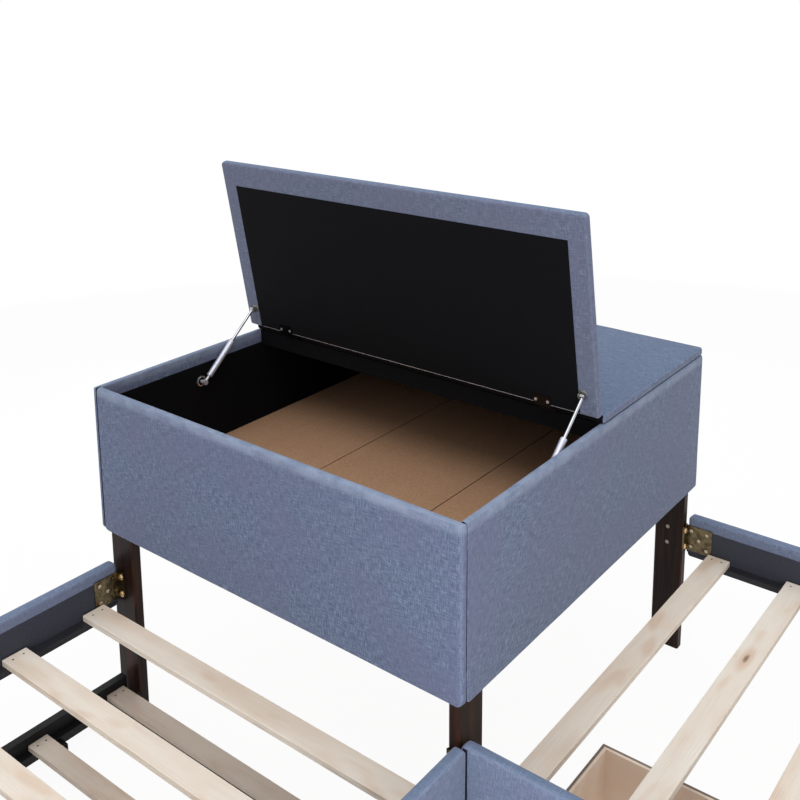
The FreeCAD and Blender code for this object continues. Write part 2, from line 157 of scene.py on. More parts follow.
def linear(level):
    """A display level from 0 to 255 as linear light."""
    value = level / 255
    return value / 12.92 if value <= 0.04045 else ((value + 0.055) / 1.055) ** 2.4


def length(name, description, default):
    return FloatProperty(
        name=name, description=description, default=default, unit="LENGTH", precision=5
    )


def share(name, description, default):
    return FloatProperty(
        name=name, description=description, default=default, min=0, max=1, subtype="FACTOR"
    )


def angle(name, description, degrees):
    default = math.radians(degrees)
    return FloatProperty(name=name, description=description, default=default, subtype="ANGLE")


def power(name, description, default):
    return FloatProperty(name=name, description=description, default=default, unit="POWER")


def colour(name, description, *levels):
    default = [linear(level) for level in levels]
    return FloatVectorProperty(name=name, description=description, default=default, subtype="COLOR")


class UpholsteryProps(bpy.types.PropertyGroup):
    """Sizes and colours of the linen-covered boards and their linings."""

    seam_radius: length("Seam radius", "Roundness of a board's edge along a seam", 0.0032)
    seam_gap: length("Seam gap", "Open slit of a seam between two table panels", 0.0016)
    panel_edge: length("Panel edge", "Roundness of a table panel's outer top edge", 0.0095)
    panel_lip: length("Panel lip", "Roundness of a table panel's inner top edge", 0.0055)
    # Painted highlight: depth of the lit, paler band of cloth below a table panel's top
    rim_highlight_depth: length("Rim depth", "Reach of the paler cloth below a table panel's top", 0.027)
    edge_radius: length("Edge radius", "Roundness of a padded board's edges", 0.0068)
    rail_radius: length("Rail radius", "Roundness of a bed rail's edges", 0.0095)
    panel_corner: length("Panel corner", "Roundness of a table panel's outer corner", 0.0125)
    rail_corner: length("Rail corner", "Roundness of a rail's top where it meets the table", 0.013)
    top_corner: length("Top corner", "Roundness of the table top's corners in plan", 0.010)
    crown: length("Crown", "Swell of the padding in the middle of a board", 0.0022)
    ripple: length("Ripple", "Depth of the slow waves in the stretched cloth", 0.0007)
    ripple_length: length("Ripple length", "Length of the slow waves in the stretched cloth", 0.11)
    lining_thickness: length("Lining thickness", "Thickness of the linings", 0.001)
    end_zone: length("End zone", "Stretch at a board's ends where the grid is finer", 0.019)
    mesh_step: length("Mesh step", "Distance between the grid lines of a board", 0.016)
    thread: length("Thread", "Distance between two threads of the linen", 0.0019)
    linen_dark: colour("Dark yarn", "Darker yarn of the linen", 70, 83, 110)
    linen_light: colour("Light yarn", "Lighter yarn of the linen", 113, 125, 151)
    linen_violet: colour("Violet yarn", "Violet cast of parts of the linen", 97, 100, 129)
    # Painted bluish cast of the skylight on flat-lying linen
    linen_sky_blue: colour("Flat linen", "Bluer cast of the linen where it lies flat", 88, 116, 150)
    # Pale yarn of the slub streaks and flecks, and also the colour of the painted highlight on edges,
    # rims and rails
    linen_pale_and_highlight: colour("Edge yarn", "Paler linen where it is pulled over an edge", 142, 154, 176)
    # Painted shade: the greyer, shaded linen under the lid
    linen_shade_grey: colour("Grey linen", "Greyer cast of the linen under the lid", 99, 97, 107)
    violet_patches: share("Violet patches", "Strength of the linen's violet patches", 0.55)
    # Share of the painted bluish skylight cast on flat-lying linen
    flat_sky_tint: share("Flat cast", "How much bluer the linen is where it lies flat", 0.36)
    slub_streaks: share("Slub streaks", "Strength of the pale streaks where it lies flat", 0.22)
    thread_flecks: share("Thread flecks", "Strength of the pale flecks of single threads", 0.3)
    # Painted highlight on the cloth's rounded edges
    edge_highlight: share("Edge wear", "How much paler the linen is over an edge", 0.16)
    # Share of painted shade on the lid's underside
    lid_underside_shade: share("Lid grey", "How much greyer the linen under the lid is", 0.3)
    # Painted lift: the rails' linen is a lighter, lit copy of the same cloth
    rail_lit_lift: share("Rail fade", "How much paler the linen of the bed rails is", 0.2)
    # Painted shade: dark cloth in the table's seams, under its fixed top and in the rails' corner
    # groove
    seam_shade: colour("Seam", "Cloth inside the seams of the table panels", 26, 31, 46)
    lining_black: colour("Table lining", "Black lining of the table and its lid", 5, 5, 8)
    lining_grey: colour("Rail lining", "Dark lining inside the bed rails", 54, 56, 64)
    # Painted highlight: a pale strip where the lid's hinged edge catches the light
    lid_binding: colour("Lid binding", "Pale tape along the hinged edge of the lid", 206, 206, 212)


class TimberProps(bpy.types.PropertyGroup):
    """Colours of the boards, and sizes of their seams, sawn edges and nails."""

    slat_pale: colour("Pale slat", "Paler wood of the slats", 236, 228, 216)
    slat_warm: colour("Warm slat", "Warmer wood of the slats", 217, 197, 176)
    slat_blush: colour("Knot halo", "Reddish wood around the knots", 208, 170, 138)
    drawer_pale: colour("Pale drawer", "Paler wood of the drawer boxes", 244, 229, 214)
    drawer_warm: colour("Warm drawer", "Warmer wood of the drawer boxes", 228, 206, 186)
    # Also the colour that the trundle's slats are darkened towards as painted shade
    slat_knot_and_shade: colour("Knot", "Knots and cracks of the slats", 104, 72, 54)
    espresso_dark: colour("Espresso", "Stain of the legs", 15, 9, 7)
    espresso_light: colour("Espresso grain", "Lighter grain of the legs", 40, 25, 19)
    # Also the colour of the grain streaks and of the lighter patches on the legs' chamfers
    espresso_red: colour("Espresso edge", "Worn edges of the legs", 84, 42, 28)
    hardboard: colour("Hardboard", "Floor of the storage bin", 194, 153, 121)
    hardboard_dark: colour("Hardboard fibre", "Darker fibres of the floor", 160, 121, 91)
    black_paint: colour("Black paint", "Paint of the trundle frame", 8, 8, 9)
    cleat_paint: colour("Cleat paint", "Dark paint of the cleats under the slats", 36, 36, 41)
    # Painted shade of the trundle's slats, which stand under the bed's slats
    trundle_painted_shade: share("Trundle shade", "How much darker the trundle's slats are", 0.25)
    plywood_edge: colour("Plywood edge", "Sawn edges of the drawer boxes", 104, 92, 82)
    plywood_rim: length("Plywood rim", "Width of the dark ply along the drawers' top edges", 0.006)
    plywood_depth: length("Plywood depth", "Depth of the dark ply below the drawers' top edges", 0.002)
    seam_width: length("Seam width", "Dark edge along the floor boards' seams", 0.0014)
    nail_radius: length("Nail radius", "Head of a slat's nail", 0.0022)
    nail_inset: length("Nail inset", "Distance of a nail from the slat's end", 0.016)


class HardwareProps(bpy.types.PropertyGroup):
    """Colours of the metal and plastic parts, and sizes of the bolts and the struts' mounts."""

    zinc_gold: colour("Zinc gold", "Yellow plating of the brackets", 108, 96, 71)
    zinc_dark: colour("Zinc shade", "Darker clouds of the plating", 66, 58, 44)
    zinc_pink: colour("Zinc blush", "Pink clouds of the plating", 164, 132, 106)
    zinc_screw: colour("Screw heads", "Plating of the bracket screws", 166, 153, 128)
    zinc_bolt: colour("Bolt heads", "Plating of the bracket bolts", 212, 184, 140)
    bolt_radius: length("Bolt radius", "Head of a bracket's bolt", 0.0068)
    bolt_height: length("Bolt height", "Rise of a bracket bolt's head", 0.0048)
    washer_radius: length("Washer radius", "Washer under a bracket's bolt", 0.0084)
    washer_thickness: length("Washer thickness", "Thickness of a bolt's washer", 0.0012)
    mount_radius: length("Mount radius", "Round foot of a strut's mount on the lid", 0.0095)
    mount_thickness: length("Mount thickness", "Thickness of the mount's foot and eye", 0.002)
    eye_radius: length("Eye radius", "Roundness of the eye that holds a strut's pin", 0.0068)
    eye_inset: length("Eye inset", "Distance of the eye from the mount's inner side", 0.006)
    pin_drop: length("Pin drop", "Height of a strut's pin above the mount's tip", 0.008)
    pin_radius: length("Pin radius", "Pin of a strut's mount", 0.003)
    pin_length: length("Pin length", "Reach of the pin from the eye", 0.013)
    steel_dark: colour("Hinge steel", "Dark finish of the hinges and the trundle's castors", 44, 42, 44)
    steel_bright: colour("Bright steel", "Screws, studs and the drawers' castors", 205, 205, 205)
    steel_pressed: colour("Pressed steel", "Mounts of the struts and nuts on the legs", 132, 130, 120)
    chrome: colour("Chrome", "Polished rods and sockets", 178, 180, 186)
    silver: colour("Silver", "Satin tubes of the struts", 198, 200, 214)
    nylon: colour("Nylon", "Castor wheels", 36, 36, 38)


class StudioProps(bpy.types.PropertyGroup):
    """Camera, lights and backdrop."""

    eye: FloatVectorProperty(
        name="Camera place", description="Where the camera stands",
        default=(0.4691, -0.8613, 1.7273), subtype="XYZ_LENGTH",
    )
    yaw: angle("Yaw", "Turn of the camera from straight along Y", 36.793)
    pitch: angle("Pitch", "Tilt of the camera above the horizon", -10.993)
    lens: FloatProperty(
        name="Lens", description="Focal length in millimetres", default=46.017, unit="CAMERA",
    )
    shift: FloatVectorProperty(
        name="Shift", description="Lens shift across and up", size=2, default=(-0.0449, -0.265),
    )
    sky: share("Sky", "Light that comes evenly from all around", 0.7)
    key_light: power("Key light", "Power of the large light in front", 35)
    back_light: power("Back light", "Power of the light behind", 25)
    top_light: power("Top light", "Power of the light overhead", 50)
    white: share("White floor", "How much of the floor stays white under the shadow", 0.94)
    shadow_reach: length("Shadow reach", "Distance at which the shadow starts to fade", 2.2)
    floor_side: length("Floor side", "Side of the square floor", 60)


PROPERTY_GROUPS = {
    "bed_upholstery": UpholsteryProps,
    "bed_timber": TimberProps,
    "bed_hardware": HardwareProps,
    "bed_studio": StudioProps,
}


# Shader expressions
def maths(operation):
    """One operator of a Field, which adds a Math node."""

    def method(*values):
        return values[0].nodes.node("Math", dict(enumerate(values)), operation=operation)

    return method


class Field:
    """A shader socket that joins in Python expressions; each operator adds a Math node."""

    def __init__(self, nodes, socket):
        self.nodes = nodes
        self.socket = socket

    __add__ = __radd__ = maths("ADD")
    __sub__ = maths("SUBTRACT")
    __mul__ = __rmul__ = maths("MULTIPLY")
    __truediv__ = maths("DIVIDE")
    __gt__ = maths("GREATER_THAN")
    __lt__ = maths("LESS_THAN")
    __abs__ = maths("ABSOLUTE")
    floor = maths("FLOOR")
    sine = maths("SINE")
    larger = maths("MAXIMUM")

    def __rsub__(self, other):
        return self.nodes.node("Math", {0: other, 1: self}, operation="SUBTRACT")

    def between(self, low, high):
        """0 below low, 1 above high, and smooth in the middle."""
        sockets = {"Value": self, "From Min": low, "From Max": high}
        return self.nodes.node("MapRange", sockets, interpolation_type="SMOOTHSTEP")


class Nodes:
    """A node tree that is filled from wrapped sockets."""

    def __init__(self, owner):
        owner.use_nodes = True
        self.tree = owner.node_tree
        self.tree.nodes.clear()

    def node(self, kind, sockets, output=0, **settings):
        """Adds one node: its settings first, then the values or links of its sockets."""
        made = self.tree.nodes.new("ShaderNode" + kind)
        for name, value in settings.items():
            setattr(made, name, value)
        for name, value in sockets.items():
            if isinstance(value, Field):
                self.tree.links.new(value.socket, made.inputs[name])
            else:
                made.inputs[name].default_value = value
        return Field(self, made.outputs[output]) if made.outputs else None

    def mix(self, factor, first, second):
        """One colour turning into another."""
        sockets = {MIX_FACTOR: factor, MIX_FIRST: opaque(first), MIX_SECOND: opaque(second)}
        return self.node("Mix", sockets, output=MIX_RESULT, data_type="RGBA")

    def scaled(self, point, waves):
        """A point as a vector, with its waves per metre along each axis."""
        x, y, z = (part * count for part, count in zip(point, waves))
        return self.node("CombineXYZ", {"X": x, "Y": y, "Z": z})

    def noise(self, waves, detail=2.0, point=None):
        """Noise with its waves per metre along each axis of the piece at rest, or of another point."""
        vector = self.scaled(point or self.place(), waves)
        return self.node("TexNoise", {"Vector": vector, "Scale": 1.0, "Detail": detail})

    def parts(self, vector):
        """The three numbers of a vector or a colour."""
        split = self.node("SeparateXYZ", {"Vector": vector}).socket.node
        return [Field(self, socket) for socket in split.outputs]

    def place(self):
        """The point on the piece at rest, in metres."""
        return self.parts(self.node("TexCoord", {}, output="Object"))

    def facing(self):
        """How squarely the surface looks along each axis, from 0 to 1."""
        return [abs(part) for part in self.parts(self.node("TexCoord", {}, output="Normal"))]

    def seen(self):
        """1 for what the camera sees, straight, mirrored or through glass, and 0 for other light."""
        path = self.node("LightPath", {}).socket.node
        names = ("Is Camera Ray", "Is Glossy Ray", "Is Transmission Ray")
        camera, glossy, through = (Field(self, path.outputs[name]) for name in names)
        return camera.larger(glossy).larger(through)


class Finish(Nodes):
    """One procedural material."""

    def __init__(self, name):
        self.material = bpy.data.materials.new(name)
        super().__init__(self.material)

    def bump(self, height, depth, strength):
        """The surface's tilt over a height that varies."""
        return self.node("Bump", {"Height": height, "Distance": depth, "Strength": strength})

    def surface(self, **sockets):
        """The shader; a socket's name is written with _ for a space."""
        named = {name.replace("_", " "): value for name, value in sockets.items()}
        named["Base Color"] = opaque(named["Base Color"])
        shader = self.node("BsdfPrincipled", named)
        self.node("OutputMaterial", {"Surface": shader})
        return self.material


def opaque(value):
    """A plain colour with its alpha; links pass through."""
    return value if isinstance(value, Field) else (*value, 1.0)


def scene_props(name):
    return getattr(bpy.context.scene, name)


def even(waves):
    """The same waves per metre along all axes."""
    return (waves, waves, waves)


def shaded(base, gain, lift=0.0):
    """A brighter or duller shade of a colour."""
    return [level * gain + lift for level in base]


# Finishes
@functools.cache
def linen(rim=None, lit_lift=0.0, underside_shade=0.0):
    """Melange linen; a painted highlight makes it paler over rounded edges and above a height just
    below a rim's top.
    """
    cloth = scene_props("bed_upholstery")
    finish = Finish("linen_melange")
    x, y, z = finish.place()
    nx, ny, nz = finish.facing()
    lies_flat = nz > SQUARE_ON
    looks_sideways = nx > SQUARE_ON
    u = x + (y - x) * looks_sideways
    v = z + (y - z) * lies_flat

    def threads(waves_u, waves_v, layer, detail=3.0):
        """Noise along the cloth's two thread directions."""
        return finish.noise((waves_u, waves_v, 1), detail, point=(u, v, layer))

    long_waves, fine_waves = 55, 560
    weft = threads(long_waves, fine_waves, 0)
    warp = threads(fine_waves, long_waves, 5)
    slub = threads(22, 170, 7)
    patch = threads(7, 7, 3, detail=2.0)
    yarn = (weft + warp) * 0.5
    streak = slub.between(0.52, 0.7) * lies_flat
    fleck = weft.between(0.58, 0.72).larger(warp.between(0.58, 0.72))
    tone = finish.mix(yarn.between(0.36, 0.64), cloth.linen_dark, cloth.linen_light)
    tone = finish.mix(patch.between(0.35, 0.68) * cloth.violet_patches, tone, cloth.linen_violet)
    # Painted bluish cast of skylight on flat-lying cloth
    tone = finish.mix(lies_flat * cloth.flat_sky_tint, tone, cloth.linen_sky_blue)
    tone = finish.mix(streak * cloth.slub_streaks, tone, cloth.linen_pale_and_highlight)
    tone = finish.mix(fleck * cloth.thread_flecks, tone, cloth.linen_pale_and_highlight)
    # Painted highlight: paler cloth over rounded edges, near the top of a rim, and over all of the
    # rails
    highlight = (1 - nx.larger(ny).larger(nz)).between(0.0, 0.3) * cloth.edge_highlight
    if rim:
        uneven = threads(24, 24, 9, detail=2.0).between(0.3, 0.7) * 0.4 + 0.3
        highlight = highlight.larger(z.between(rim - cloth.rim_highlight_depth, rim - cloth.panel_edge) * uneven)
    tone = finish.mix(highlight + lit_lift, tone, cloth.linen_pale_and_highlight)
    # Painted shade: greyer linen on the lid's underside
    if underside_shade:
        tone = finish.mix(underside_shade, tone, cloth.linen_shade_grey)
    turn = 2 * math.pi / cloth.thread
    grid = (u * turn).sine() * (v * turn).sine()
    return finish.surface(
        Base_Color=tone,
        Roughness=0.82 + yarn * 0.16,
        Normal=finish.bump(grid * 0.25 + yarn, depth=0.0006, strength=0.4),
        Sheen_Weight=0.18,
        Sheen_Roughness=0.45,
        Specular_IOR_Level=0.2,
    )


@functools.cache
def lining(name):
    """Non-woven lining: matted fibres over the colour of that name, which is also used for painted seam
    shade and a painted highlight on the lid's hinged edge.
    """
    base = getattr(scene_props("bed_upholstery"), name)
    finish = Finish(name)
    fibre = finish.noise(even(420), detail=4.0)
    cloud = finish.noise(even(14))
    lighter = shaded(base, 1.7, lift=0.002)
    tone = finish.mix(fibre.between(0.35, 0.75) * 0.6 + cloud * 0.25, base, lighter)
    return finish.surface(
        Base_Color=tone,
        Roughness=0.8 + fibre * 0.15,
        Normal=finish.bump(fibre, depth=0.0005, strength=0.5),
        Specular_IOR_Level=0.12,
    )


@functools.cache
def espresso():
    """Dark stain with a little grain, lighter and redder in patches along the chamfers."""
    timber = scene_props("bed_timber")
    finish = Finish("espresso_stain")
    grain = finish.noise((190, 190, 6), detail=4.0)
    streak = finish.noise((45, 45, 2.5))
    chamfer_patches = finish.noise((60, 60, 18))
    facing = finish.facing()
    chamfer = (facing[X] * facing[Y]).between(0.2, 0.45)
    tone = finish.mix(grain.between(0.3, 0.75), timber.espresso_dark, timber.espresso_light)
    tone = finish.mix(streak.between(0.45, 0.8) * 0.35, tone, timber.espresso_red)
    # Lighter, redder patches on the chamfers
    tone = finish.mix(chamfer * chamfer_patches.between(0.35, 0.65) * 0.75, tone, timber.espresso_red)
    return finish.surface(
        Base_Color=tone,
        Roughness=0.36 + grain * 0.2,
        Normal=finish.bump(grain, depth=0.0004, strength=0.4),
        Specular_IOR_Level=0.11,
        Coat_Weight=0.03,
        Coat_Roughness=0.22,
    )


@functools.cache
def hardboard():
    """Pressed brown fibres, with a dark line along each seam of the bin's floor."""
    timber = scene_props("bed_timber")
    finish = Finish("hardboard_brown")
    fibre = finish.noise(even(300), detail=4.0)
    drift = finish.noise((30, 4, 1))
    fibres = fibre.between(0.35, 0.7) * 0.5 + drift * 0.3
    tone = finish.mix(fibres, timber.hardboard, timber.hardboard_dark)
    x = finish.place()[X]
    for low, _ in solids("table_floor_boards")[1:]:
        seam = abs(x - low[X]) < timber.seam_width
        tone = finish.mix(seam * 0.9, tone, timber.espresso_dark)
    return finish.surface(
        Base_Color=tone,
        Roughness=0.5 + fibre * 0.2,
        Normal=finish.bump(fibre, depth=0.0003, strength=0.35),
    )


@functools.cache
def paint(name):
    """Brushed paint in the colour of that name, with a little dust on it."""
    base = getattr(scene_props("bed_timber"), name)
    finish = Finish(name)
    brush = finish.noise((40, 40, 160), detail=3.0)
    dust = finish.noise(even(220))
    scuffed = shaded(base, 3, lift=0.01)
    return finish.surface(
        Base_Color=finish.mix(dust.between(0.62, 0.8) * 0.5, base, scuffed),
        Roughness=0.5 + brush * 0.25,
        Normal=finish.bump(brush, depth=0.0004, strength=0.4),
        Specular_IOR_Level=0.25,
    )


def sawn_wood(finish, spot):
    """Streaks, fine grain, knots and their halos; spot is the place along, across and up a board."""
    wander = finish.noise((1.7, 11, 11), detail=3.0, point=spot)
    fine = finish.noise((9, 340, 340), detail=3.0, point=spot)
    ring_turns, ring_wander = 75, 16
    streak = (spot[1] * ring_turns + wander * ring_wander).sine() * 0.5 + 0.5
    cell = finish.node("TexVoronoi", {"Vector": finish.scaled(spot, (4.3, 16, 3)), "Scale": 1.0})
    chance = finish.parts(Field(finish, cell.socket.node.outputs["Color"]))[0]
    knotty = chance > KNOT_CHANCE
    ring = cell + (fine - 0.5) * 0.06
    knot = (1 - ring.between(0.03, 0.1)) * knotty
    halo = (1 - ring.between(0.08, 0.32)) * knotty
    return streak, fine, knot, halo


def slat_wood(name, along, first, pitch, shade):
    """Bare slats; each one has its own tone and its own stretch of grain, and shade darkens a whole row
    as painted shade.
    """
    timber = scene_props("bed_timber")
    finish = Finish(name)
    place = finish.place()
    across = place[ACROSS[along]]
    slat = ((across - first) / pitch + 0.5).floor()
    own = finish.node("TexWhiteNoise", {"W": slat}, noise_dimensions="1D")
    spot = (place[along] + own * GRAIN_STRETCH, across, place[Z])
    streak, fine, knot, halo = sawn_wood(finish, spot)
    blotch = finish.noise((6, 14, 14), point=spot)
    flush = finish.noise((8, 22, 22), detail=1.0, point=spot)
    warmth = streak * 0.22 + own * 0.3 + blotch.between(0.4, 0.75) * 0.35
    blush = (flush.between(0.55, 0.72) * 0.35).larger(halo * 0.6)
    sawn_side = finish.facing()[Z] < HALF_TURNED
    rough = fine.between(0.5, 0.75) * (0.1 + sawn_side * 0.25)
    tone = finish.mix(warmth, timber.slat_pale, timber.slat_warm)
    tone = finish.mix(blush, tone, timber.slat_blush)
    # The last darkening is painted shade for a row that stands in shadow
    for darker in (knot * 0.7, rough, shade):
        tone = finish.mix(darker, tone, timber.slat_knot_and_shade)
    return finish.surface(
        Base_Color=tone,
        Roughness=0.62 + fine * 0.2,
        Normal=finish.bump(fine * 0.6 + streak * 0.4, depth=0.0006, strength=0.5),
        Specular_IOR_Level=0.35,
    )


@functools.cache
def drawer_wood():
    """Box sides with plain grain, and darker sawn edges on top."""
    timber = scene_props("bed_timber")
    finish = Finish("drawer_pine")
    place = finish.place()
    streak, fine, knot, _ = sawn_wood(finish, place)
    edges = [(k, corner[k]) for node in DRAWER_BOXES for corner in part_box(node) for k in (X, Y)]
    rims = [abs(place[k] - edge) < timber.plywood_rim for k, edge in edges]
    on_top = place[Z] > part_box("drawer_near_box")[1][Z] - timber.plywood_depth
    sawn = (finish.facing()[Z] > SQUARE_ON) * on_top * functools.reduce(Field.larger, rims)
    tone = finish.mix(streak * 0.35 + fine * 0.3, timber.drawer_pale, timber.drawer_warm)
    tone = finish.mix(knot * 0.6, tone, timber.slat_knot_and_shade)
    tone = finish.mix(sawn * (0.75 + fine * 0.25), tone, timber.plywood_edge)
    return finish.surface(
        Base_Color=tone,
        Roughness=0.6 + fine * 0.2,
        Normal=finish.bump(fine, depth=0.0005, strength=0.4),
    )


@functools.cache
def yellow_zinc():
    """Yellow plating with darker clouds and a pink shimmer."""
    metal = scene_props("bed_hardware")
    finish = Finish("yellow_zinc")
    cloud = finish.noise(even(70), detail=3.0)
    grit = finish.noise(even(420), detail=3.0)
    tone = finish.mix(cloud.between(0.3, 0.7), metal.zinc_dark, metal.zinc_gold)
    tone = finish.mix(grit.between(0.55, 0.8) * 0.5, tone, metal.zinc_pink)
    return finish.surface(
        Base_Color=tone,
        Metallic=0.95,
        Roughness=0.14 + cloud * 0.24,
        Normal=finish.bump(grit * 0.6 + cloud * 2, depth=0.0008, strength=0.5),
    )


@functools.cache
def plain_metal(name):
    """Metal with faint clouds in its gloss."""
    shade, roughness, grit_depth, metallic = METALS[name]
    base = getattr(scene_props("bed_hardware"), shade)
    finish = Finish(name)
    grit = finish.noise(even(350), detail=3.0)
    cloud = finish.noise(even(45))
    duller = shaded(base, 0.72)
    return finish.surface(
        Base_Color=finish.mix(cloud.between(0.4, 0.8) * 0.6, base, duller),
        Metallic=metallic,
        Roughness=roughness + cloud * 0.12,
        Normal=finish.bump(grit, depth=grit_depth, strength=0.4),
    )


@functools.cache
def stud_nickel():
    """Bright stud and washer rim, with a dark ring between them."""
    metal = scene_props("bed_hardware")
    finish = Finish("stud_nickel")
    _, y, z = finish.place()
    low, high = solids("strut_wall_studs")[0]
    across = y - (low[Y] + high[Y]) / 2
    up = z - (low[Z] + high[Z]) / 2
    from_axis = across * across + up * up
    outer = (high[Z] - low[Z]) / 2
    stud, ring, rim = ((outer * part) ** 2 for part in (0.34, 0.72, 0.8))
    bright = from_axis.between(ring, rim).larger(from_axis < stud)
    grit = finish.noise(even(350), detail=3.0)
    return finish.surface(
        Base_Color=finish.mix(bright, metal.steel_dark, metal.steel_bright),
        Metallic=0.8,
        Roughness=0.2 + grit * 0.1,
        Normal=finish.bump(grit, depth=0.0001, strength=0.4),
    )


@functools.cache
def nylon():
    """Dark moulded wheels with scuffs."""
    base = scene_props("bed_hardware").nylon
    finish = Finish("wheel_nylon")
    grit = finish.noise(even(500), detail=3.0)
    scuff = finish.noise(even(90))
    worn = shaded(base, 2.2, lift=0.01)
    return finish.surface(
        Base_Color=finish.mix(scuff.between(0.5, 0.8) * 0.5, base, worn),
        Roughness=0.4 + grit * 0.2,
        Normal=finish.bump(grit, depth=0.0002, strength=0.4),
    )


# Shapes
def grid_lines(low, high, radius, zone, step):
    """Places along one side of a board: closer towards its ends, and closest where the edge turns."""
    slice_angle = math.radians(45) / EDGE_STEPS
    turn = [radius * math.tan(slice_angle * k) for k in range(1, EDGE_STEPS + 1)]
    reach = min(zone, (high - low) / 2) - radius
    near = [low + radius + reach * k / END_STEPS for k in range(END_STEPS + 1)]
    far = [high - radius - reach * k / END_STEPS for k in range(END_STEPS, -1, -1)]
    span = far[0] - near[-1]
    count = round(span / step)
    middle = [near[-1] + span * k / count for k in range(1, count)]
    if not count:
        near.pop()
    start = [low + radius - inset for inset in reversed(turn)]
    end = [high - radius + inset for inset in turn]
    return start + near + middle + far + end


def rounded_board(low, high, radius, zone, step):
    """A board that is round on all its edges; the grid on every side is finer towards its ends."""
    lines = [grid_lines(low[k], high[k], radius, zone, step) for k in range(3)]
    shape = bmesh.new()
    made = {}

    def point(index):
        if index not in made:
            square = Vector([lines[k][index[k]] for k in range(3)])
            core = Vector([min(max(square[k], low[k] + radius), high[k] - radius) for k in range(3)])
            made[index] = shape.verts.new(core + (square - core).normalized() * radius)
        return made[index]

    for axis in range(3):
        a = (axis + 1) % 3
        b = (axis + 2) % 3
        for side in (0, len(lines[axis]) - 1):
            for i in range(len(lines[a]) - 1):
                for j in range(len(lines[b]) - 1):
                    ring = []
                    for step_a, step_b in ((0, 0), (1, 0), (1, 1), (0, 1)):
                        index = [side, side, side]
                        index[a] = i + step_a
                        index[b] = j + step_b
                        ring.append(point(tuple(index)))
                    shape.faces.new(ring if side else reversed(ring))
    return shape


def round_corner(shape, axes, corner, sides, radius):
    """Rounds one corner of a board's outline, as seen along the third axis."""
    centre = [corner[k] - sides[k] * radius for k in range(2)]
    for vert in shape.verts:
        reach = [(vert.co[axes[k]] - centre[k]) * sides[k] / radius for k in range(2)]
        if min(reach) > 0:
            for k in range(2):
                drawn_in = reach[k] * math.sqrt(max(0.0, 1 - reach[1 - k] ** 2 / 2))
                vert.co[axes[k]] = centre[k] + sides[k] * radius * drawn_in


def swell(shape, low, high, axis, side, crown, ripple, ripple_length):
    """Pads one broad face: a crown in the middle and slow waves in the cloth."""
    others = [k for k in range(3) if k != axis]
    for vert in shape.verts:
        depth = (vert.co[axis] - low[axis]) / (high[axis] - low[axis])
        outer = max(0.0, depth if side == OUT else 1 - depth) ** 2
        bulge = 1.0
        for k in others:
            offset = 2 * (vert.co[k] - low[k]) / (high[k] - low[k]) - 1
            bulge *= max(0.0, 1 - offset**4)
        wave = sum(part * noise.noise(vert.co * pace / ripple_length) for pace, part in CLOTH_WAVES)
        vert.co[axis] += side * outer * (crown * bulge + ripple * wave)


def box_of(points):
    """The lowest and highest corners of a group of points."""
    low, high = ([pick(point[k] for point in points) for k in range(3)] for pick in (min, max))
    return Vector(low), Vector(high)


def solids(node, turn=None):
    """The lowest and highest corners of each separate solid of a node, in order of place."""
    shape = bmesh.new()
    shape.from_mesh(frame["nodes"][node].data)
    if turn:
        shape.transform(turn)
    bmesh.ops.remove_doubles(shape, verts=shape.verts, dist=ONE_POINT)
    found = []
    left = set(shape.verts)
    while left:
        group = []
        front = [left.pop()]
        while front:
            vert = front.pop()
            group.append(vert.co.copy())
            for edge in vert.link_edges:
                other = edge.other_vert(vert)
                if other in left:
                    left.remove(other)
                    front.append(other)
        found.append(box_of(group))
    shape.free()
    return sorted(found, key=lambda box: tuple(box[0]))


def turn_on_lathe(shape, profile, place, axis):
    """Adds a round form; its profile runs from the rim to the centre as (radius, height) pairs."""
    stand = Matrix.Translation(place) @ axis.to_track_quat("Z", "Y").to_matrix().to_4x4()
    turns = [2 * math.pi * k / LATHE_SIDES for k in range(LATHE_SIDES)]
    rings = []
    for radius, height in profile:
        ring = [Vector((radius * math.cos(turn), radius * math.sin(turn), height)) for turn in turns]
        rings.append([shape.verts.new(stand @ point) for point in ring])
    for outer, inner in zip(rings, rings[1:]):
        for k in range(LATHE_SIDES):
            shape.faces.new((outer[k - 1], outer[k], inner[k], inner[k - 1]))
    shape.faces.new(rings[-1])
    shape.faces.new(reversed(rings[0]))


# Pieces
def add_object(name, data):
    """A new object in the scene."""
    made = bpy.data.objects.new(name, data)
    bpy.context.scene.collection.objects.link(made)
    return made


def add_mesh(name, shape, finish):
    """Turns a finished shape into an object with one material."""
    mesh = bpy.data.meshes.new(name)
    shape.to_mesh(mesh)
    shape.free()
    mesh.materials.append(finish)
    return add_object(name, mesh)


def add_piece(name, shape, finish, body):
    """Turns a finished shape into a named piece that rides on a body."""
    made = add_mesh(name, shape, finish)
    made.data.polygons.foreach_set("use_smooth", [True] * len(made.data.polygons))
    made.data.set_sharp_from_angle(angle=SMOOTH_ANGLE)
    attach(made, body)
    return made


def looks(face, axis, side, least):
    """Whether a face looks to one side of an axis, at least so squarely."""
    return face.normal[axis] * side > least


def refinish(piece, finish, chosen):
    """Gives the chosen faces of a piece a finish of their own."""
    piece.data.materials.append(finish)
    for face in piece.data.polygons:
        if chosen(face):
            face.material_index = len(piece.data.materials) - 1


def body_of(node):
    return frame["nodes"][node]["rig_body"]


def dress(node, finish):
    """Gives a node of the frame its finish."""
    made = frame["nodes"][node]
    if not made.material_slots:
        made.data.materials.append(finish)
    for slot in made.material_slots:
        slot.material = finish


def dress_slots(finishes):
    """Gives all nodes that have a material slot in the record that slot's finish."""
    for part in frame["record"]["subparts"]:
        if part["material_slot"] in finishes:
            dress(part["node"], finishes[part["material_slot"]])


